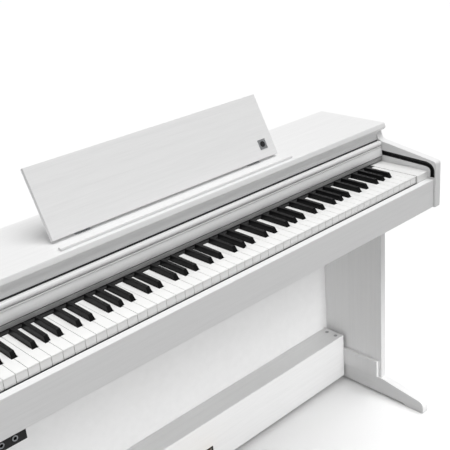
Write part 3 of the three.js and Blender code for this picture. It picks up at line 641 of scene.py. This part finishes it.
def make_screws():
    low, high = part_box("pedal_box")
    cap = None
    number = 0
    for side in (-1, 1):
        for y in CAP_ROWS:
            number += 1
            place = Vector((side * CAP_AT, y, high.z + 0.1 * MM))
            if cap is None:
                cap = disc("box_cap_1", place, 5.4 * MM, 1.2 * MM, 28)
                edit(cap)
                pick(cap, lambda middle, normal: normal.z > 0.9)
                bpy.ops.mesh.inset(thickness=1.4 * MM)
                bpy.ops.transform.translate(value=(0, 0, -0.35 * MM))
                settle(cap)
                rounded(cap, 0.25 * MM)
                first, piece = place, cap
            else:
                piece = copied(cap, f"box_cap_{number}", place - first)
            finish(piece, grey_abs, "cabinet")
    low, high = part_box("cabinet_back")
    first = None
    number = 0
    rows = [(x, z) for z in (low.z + 9 * MM, high.z - 9 * MM) for x in BACK_SCREWS]
    stand_low, stand_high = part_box("stand_back")
    rows += [(x, z) for z in (stand_low.z + 12 * MM, stand_high.z - 12 * MM) for x in STAND_SCREWS]
    for x, z in rows:
        number += 1
        back = high.y if z > low.z else stand_high.y
        place = Vector((x, back + 0.1 * MM, z))
        if first is None:
            first = screw_head("back_screw_01", place, 3.6 * MM, (-math.pi / 2, 0, 0))
            start, piece = place, first
        else:
            piece = copied(first, f"back_screw_{number:02d}", place - start)
        finish(piece, screw_steel, "cabinet")


def make_grilles():
    """Round loudspeaker grilles under the keybed: rings on six spokes, with cloth-black cones behind."""
    for side in ("left", "right"):
        speaker = finish(dressed("speaker_" + side, "loudspeaker_" + side, 0.3 * MM, 1, 50, 40), cone_paper,
                         "cabinet")
        low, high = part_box("speaker_" + side)
        middle = (low + high) / 2
        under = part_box("keybed")[0].z
        reach = (high.x - low.x) / 2 - 10 * MM
        parts = []
        for step in range(6):
            radius = reach * (1 - step / 6.3) + (5 * MM if step == 0 else 0)
            deselect()
            bpy.ops.mesh.primitive_torus_add(
                major_radius=radius, minor_radius=(2.2 if step == 0 else 1.1) * MM, major_segments=48,
                minor_segments=8, location=(middle.x, middle.y, under - 0.6 * MM))
            parts.append(bpy.context.object)
        for step in range(3):
            spoke = block("spoke", (-reach, -1.0 * MM, -0.7 * MM), (reach, 1.0 * MM, 0.7 * MM))
            spoke.rotation_euler = (0, 0, step * math.pi / 3)
            spoke.location = (middle.x, middle.y, under - 0.2 * MM)
            parts.append(settle(spoke))
        deselect()
        for part in parts:
            part.select_set(True)
        bpy.context.view_layer.objects.active = parts[0]
        bpy.ops.object.join()
        grille = bpy.context.object
        grille.name = grille.data.name = "speaker_grille_" + side
        settle(grille)
        bpy.ops.object.shade_smooth_by_angle(angle=math.radians(40))
        finish(grille, black_abs, "cabinet")


def tube_end(name, middle, outer, inner, depth, turn):
    """A short collar round a hole."""
    collar = disc(name, (0, 0, 0), outer, depth, 32)
    edit(collar)
    pick(collar, lambda middle, normal: abs(normal.z) > 0.9)
    bpy.ops.mesh.inset(thickness=outer - inner)
    bpy.ops.mesh.bridge_edge_loops()
    bpy.ops.mesh.select_all(action="SELECT")
    bpy.ops.mesh.normals_make_consistent(inside=False)
    settle(collar)
    rounded(collar, 0.25 * MM)
    collar.rotation_euler = turn
    collar.location = middle
    return settle(collar)


def make_sockets():
    finish(dressed("headphone_box", "phones_box", 1.6 * MM, 3), black_abs, "cabinet")
    finish(dressed("socket_plate", "socket_panel", 0.4 * MM), black_abs, "cabinet")
    low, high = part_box("headphone_box")
    level = high.z - 12.7 * MM
    for number, across in enumerate((22, 48), 1):
        place = Vector((low.x + across * MM, low.y - 0.5 * MM, level))
        collar = tube_end(f"phones_collar_{number}", place, 5.4 * MM, 3.4 * MM, 1.6 * MM, (math.pi / 2, 0, 0))
        finish(collar, zinc_steel, "cabinet")
    low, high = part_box("socket_plate")
    ring = tube_end("inlet_collar", Vector((0.402, high.y + 0.2 * MM, 0.704)), 6.2 * MM, 4.6 * MM, 1.2 * MM,
                    (math.pi / 2, 0, 0))
    finish(ring, zinc_steel, "cabinet")


def make_controls():
    button = dressed("power_button", "power_key", 0.8 * MM, 3)
    finish(button, white_abs, "power_button")
    low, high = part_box("power_button")
    middle = (low + high) / 2
    lamp = disc("power_lamp", (middle.x, middle.y + 3.4 * MM, high.z - 0.2 * MM), 1.1 * MM, 0.6 * MM, 20)
    finish(rounded(lamp, 0.2 * MM), light_pipe, "power_button")
    low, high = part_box("volume_knob")
    middle = (low + high) / 2
    knob = disc("volume_dial", (middle.x, middle.y, high.z - 5.6 * MM), 9 * MM, 11.2 * MM, 64)
    edit(knob)
    flutes = iter(range(64))
    pick(knob, lambda middle, normal: abs(normal.z) < 0.5 and next(flutes) % 2 == 0)
    bpy.ops.mesh.inset(thickness=0.12 * MM, use_individual=True)
    bpy.ops.transform.resize(value=(0.965, 0.965, 0.86), center_override=tuple(middle))
    pick(knob, lambda middle, normal: normal.z > 0.9)
    bpy.ops.mesh.inset(thickness=1.4 * MM)
    bpy.ops.transform.translate(value=(0, 0, -0.5 * MM))
    settle(knob)
    rounded(knob, 0.3 * MM, 2)
    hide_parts("volume_knob")
    finish(knob, white_abs, "volume_knob")
    mark = block("dial_mark", (middle.x - 0.5 * MM, middle.y + 3.6 * MM, high.z - 0.7 * MM),
                 (middle.x + 0.5 * MM, middle.y + 7.2 * MM, high.z - 0.3 * MM))
    finish(rounded(mark, 0.15 * MM), black_abs, "volume_knob")


SLOT_LOW, SLOT_HIGH = 0.045, 0.073  # the pedals' slots, over the floor


def make_pedals():
    low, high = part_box("pedal_box")
    for name in ("soft", "middle", "damper"):
        node = "pedal_" + name
        finish(dressed(node, name + "_lever", 2.1 * MM, 4, 40, 60), brass, node)
        lever_low, lever_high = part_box(node)
        x = (lever_low.x + lever_high.x) / 2
        bezel = block("slot_bezel_" + name, (x - 17 * MM, low.y - 1.2 * MM, SLOT_LOW - 4 * MM),
                      (x + 17 * MM, low.y - 0.02 * MM, SLOT_HIGH + 4 * MM))
        edit(bezel)
        pick(bezel, lambda middle, normal: abs(normal.y) > 0.9)
        bpy.ops.mesh.inset(thickness=4.2 * MM)
        bpy.ops.mesh.bridge_edge_loops()
        bpy.ops.mesh.select_all(action="SELECT")
        bpy.ops.mesh.normals_make_consistent(inside=False)
        settle(bezel)
        rounded(bezel, 0.4 * MM)
        finish(bezel, black_abs, "cabinet")


def make_rest_fittings():
    for side in ("left", "right"):
        plate = dressed("rest_hinge_base_" + side, "hinge_plate_" + side, 0.25 * MM)
        finish(plate, zinc_steel, "cabinet")
        leaf = dressed("rest_hinge_leaf_" + side, "hinge_leaf_" + side, 0.25 * MM)
        finish(leaf, zinc_steel, "music_rest")
        stay = dressed("rest_stay_" + side, "stay_bar_" + side, 0.3 * MM)
        finish(stay, zinc_steel, "stay_" + side)
    finish(dressed("stay_rail", "stay_bracket", 0.2 * MM), zinc_steel, "music_rest")


def finish_frame():
    """Materials for the CAD nodes that stay in sight or stay inside."""
    kept = {"keybed": melamine, "cabinet_back": hardboard, "stand_back": hardboard,
            "sound_module": powder_coat, "key_frame": powder_coat, "pedal_axle": zinc_steel}
    for node, material in kept.items():
        slots = NODES[node].data.materials
        slots.clear()
        slots.append(material)


FLOOR_BOUNCE = "#bdbdbd"  # the paper as the piano sees it, so that little light comes up from below


def lay_floor():
    deselect()
    bpy.ops.mesh.primitive_plane_add(size=60, location=(0, 0, -0.5 * MM))
    floor = bpy.context.object
    floor.name = "studio_floor"
    material = even_plastic("white_paper_floor", "#fbfbfb", "#fafafa", 0.9, 0.5, 0.01 * MM)
    tree = material.node_tree
    shader = next(node for node in tree.nodes if node.type == "BSDF_PRINCIPLED")
    seen = shader.inputs["Base Color"].links[0].from_socket
    path = add_node(tree, "LightPath").outputs["Is Camera Ray"]
    bounce = add_node(tree, "Mix", {0: path, 6: linear(FLOOR_BOUNCE), 7: seen}, data_type="RGBA").outputs[2]
    link(tree, bounce, shader, "Base Color")
    floor.data.materials.append(material)


make_boards()
make_legs()
make_keys()
make_slot_shade_strip()
make_emblem()
make_screws()
make_grilles()
make_sockets()
make_controls()
make_pedals()
make_rest_fittings()
finish_frame()
lay_floor()
